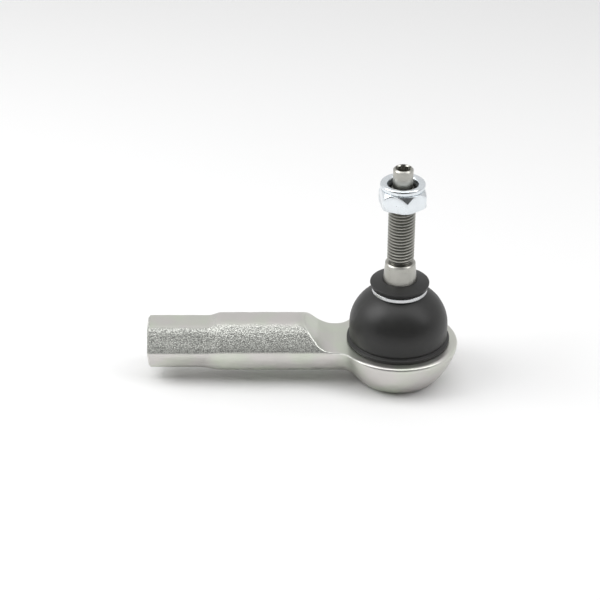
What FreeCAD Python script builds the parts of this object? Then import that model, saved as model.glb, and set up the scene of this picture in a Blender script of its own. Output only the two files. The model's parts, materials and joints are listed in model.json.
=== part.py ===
"""Steering tie rod end: a forged housing with a threaded socket, carrying a ball stud.

The row frame, in millimetres: the origin is the centre of the threaded bore where its
full thread begins, just inside the mouth, +X runs along the stem to the ball, and +Z
runs up the stud. The ball centre is on the stem's axis at x = BALL_X. Every turned piece
is drawn as a half outline of (radius, height) points about the stud's axis, with the
height measured from the ball centre.
"""
import FreeCAD, Part
import math
import os

# Whole part
BALL_X = 94.4            # start of the rod's full thread to the ball centre
MOUTH_X = -0.6           # end face of the stem
RUNNING_GAP = 0.05       # radial clearance of the turning fits
STATIC_GAP = 0.10        # gap between the rubber boot and what it moves over
OVERCUT = 1.0            # how far a cutter reaches past the face it opens

# Forged housing: stem
ROD_END_R = 9.95         # turned corners of the hexagon at the rod's end
ROD_END_FLAT = 9.25      # axis to flat of that hexagon
STEM_R = 11.1            # round body of the stem
STEM_FLAT = 10.85        # axis to flat of the stem's faint hexagon
FLARE_START = 21.9       # where the rod end begins to widen
FLARE_END = 27.9         # where it has reached the stem's size
FLARE_EASE = 0.12        # share of the step that is made in the flare's first quarter
MOUTH_CHAMFER = 0.8      # outer edge of the mouth

# Female thread, M14 x 1.5, modelled at its minor diameter
ROD_THREAD_R = 6.19
ROD_THREAD_LENGTH = 42.0
DRILL_POINT_ANGLE = 118.0

# Machined top of the neck and boss
DECK_Z = 1.4             # flat top of the neck and boss
RAMP_TOP_X = 58.1        # where the cutter leaves the stem's crest
RAMP_ANGLE = 50.0        # slope down from the crest to the deck
RAMP_RUNOUT_R = 3.0      # cutter's corner at the foot of the slope

# Forged housing: ball boss
BOSS_R = 23.0            # rim at the deck
BOSS_SIDE_R = 20.5       # on the bowl's side
BOSS_SIDE_Z = -6.2
BOSS_LOW_R = 16.5
BOSS_LOW_Z = -12.6
BOSS_ROLL_R = 16.0       # on the round edge of the rolled lip
BOSS_ROLL_Z = -13.7
BOSS_FOOT_R = 15.2       # rolled lip that holds the cover
BOSS_FOOT_Z = -14.2
NECK_FILLET_R = 3.0      # blend between the stem and the boss

# Collar that the boot sits on, and the socket inside
COLLAR_R = 15.4
COLLAR_TOP_Z = 8.4
COLLAR_CHAMFER = 0.9
SOCKET_R = 13.2
SOCKET_SHOULDER_Z = 2.6  # the socket narrows above this
SOCKET_THROAT_R = 10.3
SOCKET_THROAT_Z = 7.0
THROAT_LIP_R = 9.9
THROAT_MOUTH_R = 10.4

# Cover, spring and seats
COVER_R = 14.4
COVER_THICK = 1.4
COVER_Z = -13.4          # underside of the cover's rim
COVER_DISH = 0.7         # how far the middle is pressed in
COVER_DISH_R = 9.0
COVER_DISH_SLOPE = 1.2   # width of the pressed step
COVER_INNER_DISH = 0.1   # how far the press thins the middle
LIP_HOLE_R = 13.0        # opening of the rolled lip
SPRING_THICK = 0.6
SPRING_RISE = 0.5        # cone height of the disc spring
SPRING_HOLE_R = 5.0
SPRING_R = 13.0
SEAT_SPLIT_Z = 0.4       # gap plane between the two seats
SEAT_SPLIT_GAP = 0.3
SEAT_TOP_Z = 6.6
SEAT_MOUTH_R = 9.1
SEAT_CHAMFER = 1.0
LOW_SEAT_Z = -10.9
GREASE_WELL_R = 4.5

# Ball stud
BALL_R = 11.0
BALL_FLAT_Z = -9.6       # flat left by turning, under the ball
BALL_NECK_R = 5.8        # where the ball ends and the neck's round begins
NECK_ROUND_R = 5.32
NECK_ROUND_RISE = 0.75
NECK_R = 5.2
NECK_Z = 12.5
NECK_SWEEP_R = 5.62      # on the sweep from the neck out to the taper
NECK_SWEEP_Z = 16.7
TAPER_LOW_R = 6.85
TAPER_LOW_Z = 21.0
TAPER_TOP_R = 5.65
TAPER_TOP_Z = 34.6
LEDGE_CHAMFER = 0.55
THREAD_R = 5.0           # M10 x 1.25, modelled plain at its crests
THREAD_LOW_Z = 36.4
THREAD_TOP_Z = 65.6
UNDERCUT_R = 4.23        # groove where the thread runs out
UNDERCUT_WIDTH = 0.65
THREAD_LEAD_IN = 0.9
DOG_R = 3.7
DOG_TOP_Z = 73.4
DOG_CHAMFER = 0.55
KEY_FLATS = 5.0          # hexagon socket in the stud's end
KEY_DEPTH = 5.5

# Lock nut
NUT_FLATS = 16.0
NUT_Z = 58.7             # underside, where it stands on the thread
NUT_HEX_TOP = 6.7        # height of the hexagon
NUT_HEIGHT = 8.9
NUT_CORNER_DROP = 1.9    # how far the top chamfer comes down at the corners
NUT_WASHER_R = 7.7       # bearing face of the underside
NUT_COLLAR_R = 7.75
NUT_ROLL_R = 8.05        # widest part of the rolled collar
NUT_MOUTH_R = 5.95       # opening left by the rolled collar
NUT_TURN = 9.5           # how far the corner stands from the -Y direction, in degrees
NUT_BORE_R = THREAD_R + RUNNING_GAP
NUT_LEAD_IN = 0.5
NUT_UNDER_CHAMFER = 0.75 # rise of the underside's chamfer at the corners
NUT_TOP_CHAMFER = 0.15   # rise of the top chamfer at the middle of a flat
NUT_TOP_LAND = 0.2       # and how far it reaches in over the flat's edge
NUT_COLLAR_ROOT = 0.4    # height of the groove under the rolled collar
NUT_ROLL_DROP = 1.2      # top of the nut down to the widest part of the roll
NUT_ROLL_SIDE_R = 7.85
NUT_ROLL_SIDE_DROP = 0.35
NUT_ROLL_TOP_R = 7.0
NUT_ROLL_INNER_R = 6.3
NUT_ROLL_INNER_DROP = 0.25
NUT_MOUTH_DROP = 0.9     # top of the nut down to the edge of its mouth
INSERT_LOW = 5.5         # heights of the locking ring above the nut's underside
INSERT_TOP = 7.6
INSERT_R = 7.0
INSERT_CHAMFER = 0.3

# Dust boot and its rings
BOOT_BASE_Z = 1.5
BOOT_FLANGE_R = 19.5
BOOT_FLANGE_TOP_Z = 2.7
BOOT_FLANGE_CHAMFER = 0.4
BOOT_GROOVE_R = 18.3
BOOT_GROOVE_Z = 3.2
BOOT_DOME_R = 18.6
BOOT_DOME_LOW_Z = 4.0
BOOT_DOME_MID_Z = 8.5
BOOT_DOME_TOP_R = 9.9
BOOT_DOME_TOP_Z = 22.2
BOOT_WALL = 1.5
BOOT_WAIST_R = 9.55      # under the upper ring
BOOT_LIP_R = 11.1
BOOT_LIP_Z = 26.4
BOOT_CROWN_Z = 27.5      # where the lip meets the stud
BOOT_LIP_EDGE = 0.3      # height of the lip's upright edge
BOOT_WAIST_Z = 22.5      # foot of the waist
BOOT_SEAL_LOW_Z = 21.0
BOOT_INNER_TRIM = 0.05   # angle by which the inner dome stops short of the outer one
BASE_RING_WALL = 1.0
BASE_RING_LOW_Z = 1.8
BASE_RING_TOP_Z = 6.2
TOP_RING_R = 10.4
TOP_RING_LOW_Z = 22.7
TOP_RING_TOP_Z = 24.2


def vector(x, y, z):
    return FreeCAD.Vector(x, y, z)


def at_ball(shape):
    """Moves a shape drawn about the Z axis onto the stud's axis."""
    shape.translate(vector(BALL_X, 0, 0))
    return shape


def outline_edges(points):
    """Joins (radius, height) points into edges; a triple (r, z, 'arc') is an arc's mid point."""
    edges = []
    start = points[0]
    index = 1
    closed = points + [points[0]]
    while index < len(closed):
        point = closed[index]
        here = vector(start[0], 0, start[1])
        if len(point) == 3:
            end = closed[index + 1]
            mid = vector(point[0], 0, point[1])
            edges.append(Part.Arc(here, mid, vector(end[0], 0, end[1])).toShape())
            index += 2
        else:
            end = point
            edges.append(Part.makeLine(here, vector(end[0], 0, end[1])))
            index += 1
        start = end
    return edges


def turned(points):
    """A solid turned about the Z axis from a closed half outline."""
    face = Part.Face(Part.Wire(outline_edges(points)))
    return face.revolve(vector(0, 0, 0), vector(0, 0, 1), 360)


def on_sphere(radius, height):
    """Radius of a sphere about the ball centre at a given height."""
    return math.sqrt(radius ** 2 - height ** 2)


def socket_cone_r(height):
    """Radius of the socket's cone between its shoulder and its throat."""
    share = (height - SOCKET_SHOULDER_Z) / (SOCKET_THROAT_Z - SOCKET_SHOULDER_Z)
    return SOCKET_R + share * (SOCKET_THROAT_R - SOCKET_R)


def sphere_mid(radius, low, high):
    """A point of the sphere's outline half way between two heights."""
    angle = (math.asin(low / radius) + math.asin(high / radius)) / 2
    return (radius * math.cos(angle), radius * math.sin(angle), "arc")


def hexagon(to_flat, turn, placement_axis):
    """A closed hexagon wire: a flat faces 'turn' degrees, drawn across the given axis."""
    corner = to_flat / math.cos(math.radians(30))
    points = []
    for index in range(7):
        angle = math.radians(turn + 30 + 60 * index)
        across = corner * math.cos(angle)
        up = corner * math.sin(angle)
        if placement_axis == "x":
            points.append(vector(0, across, up))
        else:
            points.append(vector(across, up, 0))
    return Part.makePolygon(points)


def stem():
    """The forged bar: a round body that narrows to a turned hexagon at the rod's end."""
    flare_mid = (FLARE_START + FLARE_END) / 2
    half_way = (ROD_END_R + STEM_R) / 2
    step = (STEM_R - ROD_END_R) * FLARE_EASE
    quarter = (FLARE_END - FLARE_START) / 4
    edges = [
        Part.makeLine(vector(MOUTH_X, 0, 0), vector(MOUTH_X, 0, ROD_END_R - MOUTH_CHAMFER)),
        Part.makeLine(vector(MOUTH_X, 0, ROD_END_R - MOUTH_CHAMFER),
                      vector(MOUTH_X + MOUTH_CHAMFER, 0, ROD_END_R)),
        Part.makeLine(vector(MOUTH_X + MOUTH_CHAMFER, 0, ROD_END_R), vector(FLARE_START, 0, ROD_END_R)),
        Part.Arc(vector(FLARE_START, 0, ROD_END_R),
                 vector(FLARE_START + quarter, 0, ROD_END_R + step),
                 vector(flare_mid, 0, half_way)).toShape(),
        Part.Arc(vector(flare_mid, 0, half_way),
                 vector(FLARE_END - quarter, 0, STEM_R - step),
                 vector(FLARE_END, 0, STEM_R)).toShape(),
        Part.makeLine(vector(FLARE_END, 0, STEM_R), vector(BALL_X, 0, STEM_R)),
        Part.makeLine(vector(BALL_X, 0, STEM_R), vector(BALL_X, 0, 0)),
        Part.makeLine(vector(BALL_X, 0, 0), vector(MOUTH_X, 0, 0)),
    ]
    round_bar = Part.Face(Part.Wire(edges)).revolve(vector(0, 0, 0), vector(1, 0, 0), 360)
    sections = []
    stations = [(MOUTH_X - OVERCUT, ROD_END_FLAT), (FLARE_START, ROD_END_FLAT),
                (FLARE_END, STEM_FLAT), (BALL_X + OVERCUT, STEM_FLAT)]
    for x, to_flat in stations:
        section = hexagon(to_flat, 90, "x")
        section.translate(vector(x, 0, 0))
        sections.append(section)
    hexagon_bar = Part.makeLoft(sections, True, True)
    return round_bar.common(hexagon_bar)


def boss():
    """The bowl around the ball, before boring."""
    return at_ball(turned([
        (0, DECK_Z),
        (BOSS_R, DECK_Z),
        (BOSS_SIDE_R, BOSS_SIDE_Z, "arc"),
        (BOSS_LOW_R, BOSS_LOW_Z),
        (BOSS_ROLL_R, BOSS_ROLL_Z, "arc"),
        (BOSS_FOOT_R, BOSS_FOOT_Z),
        (0, BOSS_FOOT_Z),
    ]))


def deck_cutter():
    """What the milling cutter takes off the top of the neck, up to the boss."""
    slope = math.radians(RAMP_ANGLE)
    foot_x = RAMP_TOP_X + (STEM_R - DECK_Z) / math.tan(slope)
    tangent = RAMP_RUNOUT_R * math.tan(slope / 2)
    arc_start = vector(foot_x - tangent * math.cos(slope), 0, DECK_Z + tangent * math.sin(slope))
    arc_end = vector(foot_x + tangent, 0, DECK_Z)
    centre = vector(foot_x + tangent, 0, DECK_Z + RAMP_RUNOUT_R)
    mid_angle = slope / 2
    arc_mid = vector(centre.x - RAMP_RUNOUT_R * math.sin(mid_angle), 0,
                     centre.z - RAMP_RUNOUT_R * math.cos(mid_angle))
    above = 3 * OVERCUT
    top_z = STEM_R + above
    top_x = RAMP_TOP_X - above / math.tan(slope)
    far_x = BALL_X + BOSS_R + above
    edges = [
        Part.makeLine(vector(top_x, 0, top_z), arc_start),
        Part.Arc(arc_start, arc_mid, arc_end).toShape(),
        Part.makeLine(arc_end, vector(far_x, 0, DECK_Z)),
        Part.makeLine(vector(far_x, 0, DECK_Z), vector(far_x, 0, top_z)),
        Part.makeLine(vector(far_x, 0, top_z), vector(top_x, 0, top_z)),
    ]
    half_width = BOSS_R + above
    for edge in edges:
        edge.translate(vector(0, -half_width, 0))
    return Part.Face(Part.Wire(edges)).extrude(vector(0, 2 * half_width, 0))


def collar():
    """The upright collar that the boot's base ring is pressed on."""
    return at_ball(turned([
        (0, DECK_Z - OVERCUT),
        (COLLAR_R, DECK_Z - OVERCUT),
        (COLLAR_R, COLLAR_TOP_Z - COLLAR_CHAMFER),
        (COLLAR_R - COLLAR_CHAMFER, COLLAR_TOP_Z),
        (0, COLLAR_TOP_Z),
    ]))


def socket_cutter():
    """The bored socket, from the cover's seat up to the throat."""
    below = BOSS_FOOT_Z - OVERCUT
    above = COLLAR_TOP_Z + OVERCUT
    return at_ball(turned([
        (0, below),
        (LIP_HOLE_R, below),
        (LIP_HOLE_R, COVER_Z),
        (COVER_R, COVER_Z),
        (COVER_R, COVER_Z + COVER_THICK),
        (SOCKET_R, COVER_Z + COVER_THICK),
        (SOCKET_R, SOCKET_SHOULDER_Z),
        (SOCKET_THROAT_R, SOCKET_THROAT_Z),
        (THROAT_LIP_R, SOCKET_THROAT_Z),
        (THROAT_MOUTH_R, above),
        (0, above),
    ]))


def rod_bore_cutter():
    """The threaded socket for the tie rod, with its drill point and lead-in."""
    point = ROD_THREAD_R / math.tan(math.radians(DRILL_POINT_ANGLE / 2))
    bore = turned([
        (0, MOUTH_X - OVERCUT),
        (ROD_THREAD_R - MOUTH_X + OVERCUT, MOUTH_X - OVERCUT),
        (ROD_THREAD_R, 0),
        (ROD_THREAD_R, ROD_THREAD_LENGTH),
        (0, ROD_THREAD_LENGTH + point),
    ])
    bore.rotate(vector(0, 0, 0), vector(0, 1, 0), 90)
    return bore


def neck_edges(shape):
    """The seam where the round stem runs into the bowl, below the deck."""
    chosen = []
    for edge in shape.Edges:
        box = edge.BoundBox
        near_stem = box.XMin > BALL_X - BOSS_R - 1.0 and box.XMax < BALL_X - 10.0
        below_deck = box.ZMax < DECK_Z + 0.01 and box.ZMin > -STEM_R - 0.5
        slanted = box.ZLength > 0.5 and box.XLength > 0.05
        if near_stem and below_deck and slanted:
            chosen.append(edge)
    return chosen


def housing():
    """One forging, machined on top and bored through."""
    forging = stem().fuse(boss()).removeSplitter()
    forging = forging.cut(deck_cutter())
    forging = forging.makeFillet(NECK_FILLET_R, neck_edges(forging))
    forging = forging.fuse(collar())
    forging = forging.cut(socket_cutter())
    return forging.cut(rod_bore_cutter()).removeSplitter()


def key_socket():
    """The hexagon socket in the stud's end."""
    hexagon_face = Part.Face(hexagon(KEY_FLATS / 2, 0, "z"))
    prism = hexagon_face.extrude(vector(0, 0, KEY_DEPTH + OVERCUT))
    prism.translate(vector(0, 0, DOG_TOP_Z - KEY_DEPTH))
    return prism


def ball_stud():
    """Ball, waist, taper, thread and plain end, turned from one bar."""
    ledge_z = TAPER_TOP_Z + LEDGE_CHAMFER
    ball_top_z = on_sphere(BALL_R, BALL_NECK_R)
    blank = turned([
        (0, BALL_FLAT_Z),
        (on_sphere(BALL_R, BALL_FLAT_Z), BALL_FLAT_Z),
        (BALL_R, 0, "arc"),
        (BALL_NECK_R, ball_top_z),
        (NECK_ROUND_R, ball_top_z + NECK_ROUND_RISE, "arc"),
        (NECK_R, NECK_Z),
        (NECK_SWEEP_R, NECK_SWEEP_Z, "arc"),
        (TAPER_LOW_R, TAPER_LOW_Z),
        (TAPER_TOP_R, TAPER_TOP_Z),
        (TAPER_TOP_R - LEDGE_CHAMFER, ledge_z),
        (UNDERCUT_R, ledge_z),
        (UNDERCUT_R, ledge_z + UNDERCUT_WIDTH),
        (THREAD_R, THREAD_LOW_Z),
        (THREAD_R, THREAD_TOP_Z - THREAD_LEAD_IN),
        (THREAD_R - THREAD_LEAD_IN, THREAD_TOP_Z),
        (DOG_R, THREAD_TOP_Z),
        (DOG_R, DOG_TOP_Z - DOG_CHAMFER),
        (DOG_R - DOG_CHAMFER, DOG_TOP_Z),
        (0, DOG_TOP_Z),
    ])
    return at_ball(blank.cut(key_socket()))


def upper_ball_seat():
    """Plastic ring that holds the ball down; its bore is the upper part of the sphere."""
    inner = BALL_R + RUNNING_GAP
    low = SEAT_SPLIT_Z + SEAT_SPLIT_GAP / 2
    mouth_z = math.sqrt(inner ** 2 - SEAT_MOUTH_R ** 2)
    return at_ball(turned([
        (on_sphere(inner, low), low),
        (SOCKET_R, low),
        (SOCKET_R, SOCKET_SHOULDER_Z),
        (socket_cone_r(SEAT_TOP_Z), SEAT_TOP_Z),
        (SEAT_MOUTH_R, SEAT_TOP_Z),
        (SEAT_MOUTH_R, mouth_z),
        sphere_mid(inner, low, mouth_z),
    ]))


def lower_ball_seat():
    """Plastic cup under the ball, open in the middle as a grease well."""
    inner = BALL_R + RUNNING_GAP
    high = SEAT_SPLIT_Z - SEAT_SPLIT_GAP / 2
    well_z = -math.sqrt(inner ** 2 - GREASE_WELL_R ** 2)
    return at_ball(turned([
        (GREASE_WELL_R, LOW_SEAT_Z),
        (SOCKET_R - SEAT_CHAMFER, LOW_SEAT_Z),
        (SOCKET_R, LOW_SEAT_Z + SEAT_CHAMFER),
        (SOCKET_R, high),
        (on_sphere(inner, high), high),
        sphere_mid(inner, well_z, high),
        (GREASE_WELL_R, well_z),
    ]))


def seat_spring():
    """Disc spring that takes up wear: it stands on the cover and lifts the lower seat."""
    high = LOW_SEAT_Z
    low = high - SPRING_RISE
    return at_ball(turned([
        (SPRING_HOLE_R, high - SPRING_THICK),
        (SPRING_R, low - SPRING_THICK),
        (SPRING_R, low),
        (SPRING_HOLE_R, high),
    ]))


def end_cover():
    """Pressed steel disc that closes the socket, held by the housing's rolled lip."""
    top = COVER_Z + COVER_THICK
    dish_edge_r = COVER_DISH_R + COVER_DISH_SLOPE
    return at_ball(turned([
        (0, COVER_Z + COVER_DISH),
        (COVER_DISH_R, COVER_Z + COVER_DISH),
        (dish_edge_r, COVER_Z),
        (COVER_R, COVER_Z),
        (COVER_R, top),
        (dish_edge_r, top),
        (COVER_DISH_R, top - COVER_INNER_DISH),
        (0, top - COVER_INNER_DISH),
    ]))


def boot_base_ring():
    """Steel ring inside the boot's base, pressed on the collar."""
    return at_ball(turned([
        (COLLAR_R, BASE_RING_LOW_Z),
        (COLLAR_R + BASE_RING_WALL, BASE_RING_LOW_Z),
        (COLLAR_R + BASE_RING_WALL, BASE_RING_TOP_Z),
        (COLLAR_R, BASE_RING_TOP_Z),
    ]))


def dome_point(angle, inset):
    """A point of the boot's quarter-oval dome, 'inset' inside its outer surface."""
    rise = (BOOT_DOME_TOP_Z - BOOT_DOME_MID_Z) / math.sin(math.acos(BOOT_DOME_TOP_R / BOOT_DOME_R))
    return ((BOOT_DOME_R - inset) * math.cos(angle), BOOT_DOME_MID_Z + (rise - inset) * math.sin(angle))


def dome_curve(inset, first, last):
    """A smooth curve up (or down) the dome between two angles."""
    steps = 6
    points = []
    for index in range(steps + 1):
        radius, height = dome_point(first + (last - first) * index / steps, inset)
        points.append(vector(radius, 0, height))
    curve = Part.BSplineCurve()
    curve.interpolate(points)
    return curve.toShape(), points[0], points[-1]


def dust_boot():
    """Rubber boot: a flanged base, a domed wall, a waist for the ring and a flat lip."""
    ring_outer = COLLAR_R + BASE_RING_WALL + STATIC_GAP
    top_angle = math.acos(BOOT_DOME_TOP_R / BOOT_DOME_R)
    outer, outer_low, outer_high = dome_curve(0, 0, top_angle)
    inner, inner_high, inner_low = dome_curve(BOOT_WALL, top_angle - BOOT_INNER_TRIM, 0)
    seal_r = TAPER_LOW_R + STATIC_GAP
    stations = [
        inner_low,
        vector(ring_outer, 0, BASE_RING_TOP_Z),
        vector(ring_outer, 0, BOOT_BASE_Z),
        vector(BOOT_FLANGE_R - BOOT_FLANGE_CHAMFER, 0, BOOT_BASE_Z),
        vector(BOOT_FLANGE_R, 0, BOOT_BASE_Z + BOOT_FLANGE_CHAMFER),
        vector(BOOT_FLANGE_R, 0, BOOT_FLANGE_TOP_Z),
        vector(BOOT_GROOVE_R, 0, BOOT_GROOVE_Z),
        vector(BOOT_DOME_R, 0, BOOT_DOME_LOW_Z),
        outer_low,
    ]
    waist = [
        outer_high,
        vector(BOOT_WAIST_R, 0, BOOT_WAIST_Z),
        vector(BOOT_WAIST_R, 0, TOP_RING_TOP_Z + STATIC_GAP),
        vector(TOP_RING_R, 0, TOP_RING_TOP_Z + STATIC_GAP),
        vector(BOOT_LIP_R, 0, BOOT_LIP_Z - BOOT_LIP_EDGE),
        vector(BOOT_LIP_R, 0, BOOT_LIP_Z),
        vector(seal_r, 0, BOOT_CROWN_Z),
        vector(seal_r, 0, BOOT_SEAL_LOW_Z),
        inner_high,
    ]
    edges = []
    for chain in (stations, waist):
        for first, second in zip(chain, chain[1:]):
            edges.append(Part.makeLine(first, second))
    wire = Part.Wire(Part.__sortEdges__(edges + [outer, inner]))
    return at_ball(Part.Face(wire).revolve(vector(0, 0, 0), vector(0, 0, 1), 360))


def boot_upper_ring():
    """Flat steel band round the boot's waist, under the lip."""
    inner = BOOT_WAIST_R + RUNNING_GAP
    return at_ball(turned([
        (inner, TOP_RING_LOW_Z),
        (TOP_RING_R, TOP_RING_LOW_Z),
        (TOP_RING_R, TOP_RING_TOP_Z),
        (inner, TOP_RING_TOP_Z),
    ]))


def nut_chamfer():
    """The turned outline that the nut's hexagon is trimmed to."""
    corner = NUT_FLATS / 2 / math.cos(math.radians(30))
    flat = NUT_FLATS / 2
    hex_top = NUT_Z + NUT_HEX_TOP
    outside = corner + RUNNING_GAP
    return turned([
        (0, NUT_Z),
        (NUT_WASHER_R, NUT_Z),
        (outside, NUT_Z + NUT_UNDER_CHAMFER),
        (outside, hex_top - NUT_CORNER_DROP),
        (flat, hex_top - NUT_TOP_CHAMFER),
        (flat - NUT_TOP_LAND, hex_top),
        (0, hex_top),
    ])


def lock_nut():
    """Hexagon nut with a rolled collar over its locking ring."""
    prism = Part.Face(hexagon(NUT_FLATS / 2, 30 + NUT_TURN - 90, "z")).extrude(vector(0, 0, NUT_HEIGHT))
    prism.translate(vector(0, 0, NUT_Z))
    body = prism.common(nut_chamfer())
    hex_top = NUT_Z + NUT_HEX_TOP
    top = NUT_Z + NUT_HEIGHT
    mouth_z = top - NUT_MOUTH_DROP
    roll = turned([
        (0, hex_top - NUT_COLLAR_ROOT),
        (NUT_COLLAR_R, hex_top - NUT_COLLAR_ROOT),
        (NUT_COLLAR_R, hex_top + NUT_COLLAR_ROOT),
        (NUT_ROLL_R, top - NUT_ROLL_DROP),
        (NUT_ROLL_SIDE_R, top - NUT_ROLL_SIDE_DROP, "arc"),
        (NUT_ROLL_TOP_R, top),
        (NUT_ROLL_INNER_R, top - NUT_ROLL_INNER_DROP, "arc"),
        (NUT_MOUTH_R, mouth_z),
        (0, mouth_z),
    ])
    bore = turned([
        (0, NUT_Z - OVERCUT),
        (NUT_BORE_R + NUT_LEAD_IN + OVERCUT, NUT_Z - OVERCUT),
        (NUT_BORE_R, NUT_Z + NUT_LEAD_IN),
        (NUT_BORE_R, NUT_Z + INSERT_LOW),
        (INSERT_R, NUT_Z + INSERT_LOW),
        (INSERT_R, NUT_Z + INSERT_TOP),
        (NUT_MOUTH_R, NUT_Z + INSERT_TOP),
        (NUT_MOUTH_R, top + OVERCUT),
        (0, top + OVERCUT),
    ])
    return at_ball(body.fuse(roll).cut(bore).removeSplitter())


def nut_locking_insert():
    """Nylon ring that grips the thread, held under the rolled collar."""
    inner = NUT_BORE_R
    return at_ball(turned([
        (inner, NUT_Z + INSERT_LOW),
        (INSERT_R, NUT_Z + INSERT_LOW),
        (INSERT_R, NUT_Z + INSERT_TOP),
        (inner + INSERT_CHAMFER, NUT_Z + INSERT_TOP),
        (inner, NUT_Z + INSERT_TOP - INSERT_CHAMFER),
    ]))


PIECES = {
    "housing": housing,
    "ball_stud": ball_stud,
    "upper_ball_seat": upper_ball_seat,
    "lower_ball_seat": lower_ball_seat,
    "seat_spring": seat_spring,
    "end_cover": end_cover,
    "boot_base_ring": boot_base_ring,
    "dust_boot": dust_boot,
    "boot_upper_ring": boot_upper_ring,
    "lock_nut": lock_nut,
    "nut_locking_insert": nut_locking_insert,
}


def main():
    os.makedirs("parts", exist_ok=True)
    for name, make in PIECES.items():
        shape = make()
        shape.exportStep("parts/" + name + ".step")
        box = shape.BoundBox
        print(name, "solids", len(shape.Solids), "valid", shape.isValid(),
              "volume", round(shape.Volume, 1), "z", round(box.ZMin, 2), round(box.ZMax, 2))


main()
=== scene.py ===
"""Tie rod end: the looks of a steering ball joint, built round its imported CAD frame.

Run as a script it makes every piece, the stage and the camera. The frame and every
property are in metres: X runs along the stem and Z up the stud. Outlines are drawn in
millimetres about the ball centre and turned into metres as their rings are made.
"""
import json
import math

import bmesh
import bpy
import numpy as np
import openvdb
from bpy.props import FloatProperty, FloatVectorProperty, IntProperty, PointerProperty
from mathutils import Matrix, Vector


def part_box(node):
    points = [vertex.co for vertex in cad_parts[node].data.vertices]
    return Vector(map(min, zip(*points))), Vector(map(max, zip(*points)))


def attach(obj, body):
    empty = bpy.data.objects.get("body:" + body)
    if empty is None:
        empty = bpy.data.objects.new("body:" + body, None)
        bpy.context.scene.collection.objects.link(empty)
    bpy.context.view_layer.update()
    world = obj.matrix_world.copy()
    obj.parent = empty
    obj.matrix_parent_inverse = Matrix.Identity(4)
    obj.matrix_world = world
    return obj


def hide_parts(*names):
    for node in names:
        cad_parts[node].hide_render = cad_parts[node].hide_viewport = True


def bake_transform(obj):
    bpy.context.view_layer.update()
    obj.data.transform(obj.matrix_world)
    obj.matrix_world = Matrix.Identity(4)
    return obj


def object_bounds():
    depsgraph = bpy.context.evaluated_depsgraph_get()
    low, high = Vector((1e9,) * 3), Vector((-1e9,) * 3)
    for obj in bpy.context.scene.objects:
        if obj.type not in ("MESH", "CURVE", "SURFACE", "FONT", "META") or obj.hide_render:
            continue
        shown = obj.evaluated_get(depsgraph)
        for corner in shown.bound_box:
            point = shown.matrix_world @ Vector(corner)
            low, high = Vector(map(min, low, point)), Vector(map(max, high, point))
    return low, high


bl_info = {
    "name": "Tie rod end",
    "version": (1, 0, 0),
    "blender": (4, 5, 0),
    "location": "View3D > Sidebar > Tie rod end",
    "description": "Builds the visible pieces of a tie rod end round its CAD frame",
    "category": "Object",
}

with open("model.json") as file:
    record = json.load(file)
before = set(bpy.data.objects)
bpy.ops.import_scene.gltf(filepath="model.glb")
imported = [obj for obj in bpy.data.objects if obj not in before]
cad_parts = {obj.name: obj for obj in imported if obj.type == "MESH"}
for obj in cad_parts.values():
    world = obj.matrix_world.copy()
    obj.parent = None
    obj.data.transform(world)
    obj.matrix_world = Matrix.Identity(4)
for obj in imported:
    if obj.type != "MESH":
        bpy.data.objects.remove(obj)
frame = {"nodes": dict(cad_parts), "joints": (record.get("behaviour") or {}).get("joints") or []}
CAD_LOW, CAD_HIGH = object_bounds()
MM = 0.001
BALL = Vector(frame["joints"][0]["pos_m"])
BALL_X = BALL.x / MM


def node_size(name):
    """A turned node's size about the ball centre, in millimetres: radius, low and high."""
    low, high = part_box(name)
    return (high.y - low.y) / 2 / MM, (low.z - BALL.z) / MM, (high.z - BALL.z) / MM


BOSS_R, FOOT_Z, COLLAR_TOP = node_size("housing")
STUD_R, BALL_LOW, STUD_TOP = node_size("ball_stud")
BOOT_R, BOOT_LOW, BOOT_TOP = node_size("dust_boot")
BAND_R, BAND_LOW, BAND_TOP = node_size("boot_upper_ring")
NUT_LOW = node_size("lock_nut")[1]
NYLON_R, NYLON_LOW, NYLON_TOP = node_size("nut_locking_insert")
COVER_R, COVER_LOW, COVER_TOP = node_size("end_cover")
MOUTH_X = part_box("housing")[0].x / MM


# --- sizes and colours that a user would change -----------------------------------

def length(name, description, value):
    """A property in metres whose default is given in millimetres."""
    return FloatProperty(name=name, description=description, default=value * MM,
                         subtype="DISTANCE", unit="LENGTH", precision=5)


def colour(name, description, value):
    return FloatVectorProperty(name=name, description=description, default=value,
                               subtype="COLOR", size=3, min=0.0, max=1.0)


class ForgingSettings(bpy.types.PropertyGroup):
    cell: length("Mesh cell", "Size of the forging's mesh cells", 0.4)
    rod_end: length("Rod end radius", "Radius over the corners of the narrow end", 9.95)
    rod_end_flat: length("Rod end flat", "Axis to flat of the narrow end's hexagon", 9.25)
    stem: length("Stem radius", "Radius of the stem's round body", 11.1)
    stem_flat: length("Stem flat", "Axis to flat of the stem's faint hexagon", 10.85)
    deck: length("Deck height", "Height of the milled deck above the stem's axis", 1.4)
    edge_round: length("Edge round", "Softness of the milled edges", 0.35)
    neck_blend: length("Neck blend", "How far the stem and the bowl flow into each other", 3.0)
    thread_pitch: length("Rod thread pitch", "Pitch of the thread in the stem", 1.5)
    thread_minor: length("Rod thread bore", "Radius of the tapped hole in the stem", 6.19)
    thread_depth: length("Rod thread depth", "Height of the thread in the stem", 0.81)
    thread_length: length("Rod thread length", "How deep the stem is tapped", 42.0)


class StudSettings(bpy.types.PropertyGroup):
    pitch: length("Thread pitch", "Pitch of the stud's fine thread", 1.25)
    crest: length("Thread crest", "Radius of the stud's thread over its crests", 5.0)
    depth: length("Thread depth", "Depth of the stud's thread", 0.767)
    plain: length("Plain end", "Radius of the stud's plain end", 3.7)
    key_flats: length("Key socket", "Width across flats of the key socket", 5.0)


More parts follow.
